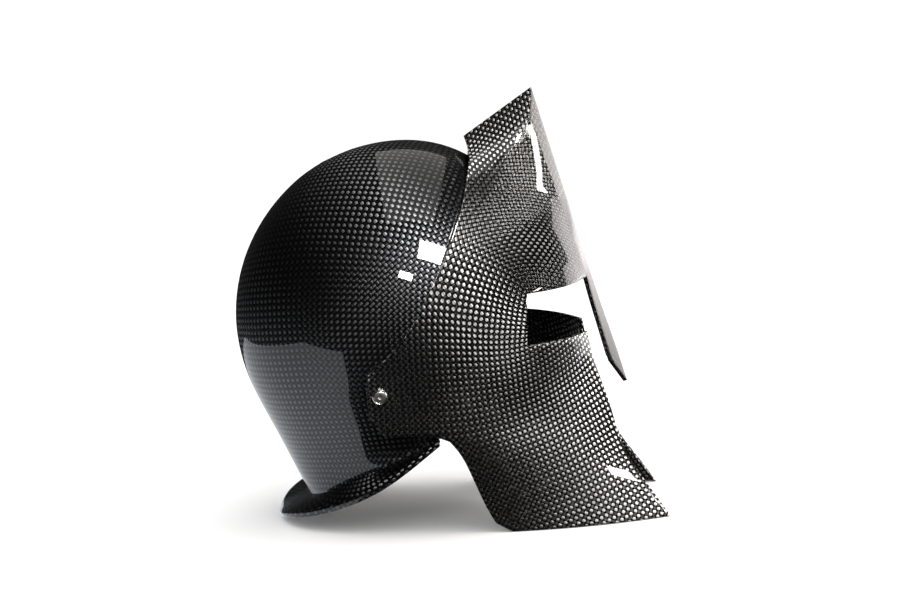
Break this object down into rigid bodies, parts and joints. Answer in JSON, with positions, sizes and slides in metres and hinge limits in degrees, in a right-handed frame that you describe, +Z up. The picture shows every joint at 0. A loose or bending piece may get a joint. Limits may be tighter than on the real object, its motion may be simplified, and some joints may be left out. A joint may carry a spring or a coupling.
{
  "type": "spartan helmet",
  "caption": "Open-faced Spartan helmet: a round carbon dome with a tapering neck guard, and a peaked face plate with a nose bar and cheek guards that swings up on two ear screws.",
  "frame": {"origin": "on the floor under the middle of the helmet's bounding box", "axes": "+X is the way the face looks, +Y the wearer's left, +Z up"},
  "size_m": [0.3182, 0.2038, 0.3152],
  "materials": {
    "clear_coated_carbon": "gloss",
    "stainless_steel": "polished"
  },
  "bodies": {
    "skull": {"skull_shell": "clear_coated_carbon", "pivot_screw_right": "stainless_steel", "pivot_screw_left": "stainless_steel", "cup_washer_right": "stainless_steel", "cup_washer_left": "stainless_steel", "pivot_nut_right": "stainless_steel", "pivot_nut_left": "stainless_steel"},
    "visor": {"face_plate": "clear_coated_carbon"}
  },
  "joints": [
    {"name": "visor_swing", "type": "hinge", "parent": "skull", "child": "visor", "pos_m": [-0.04998, 0, 0.1052], "axis": [0, -1, 0], "range_deg": [0, 26]}
  ]
}
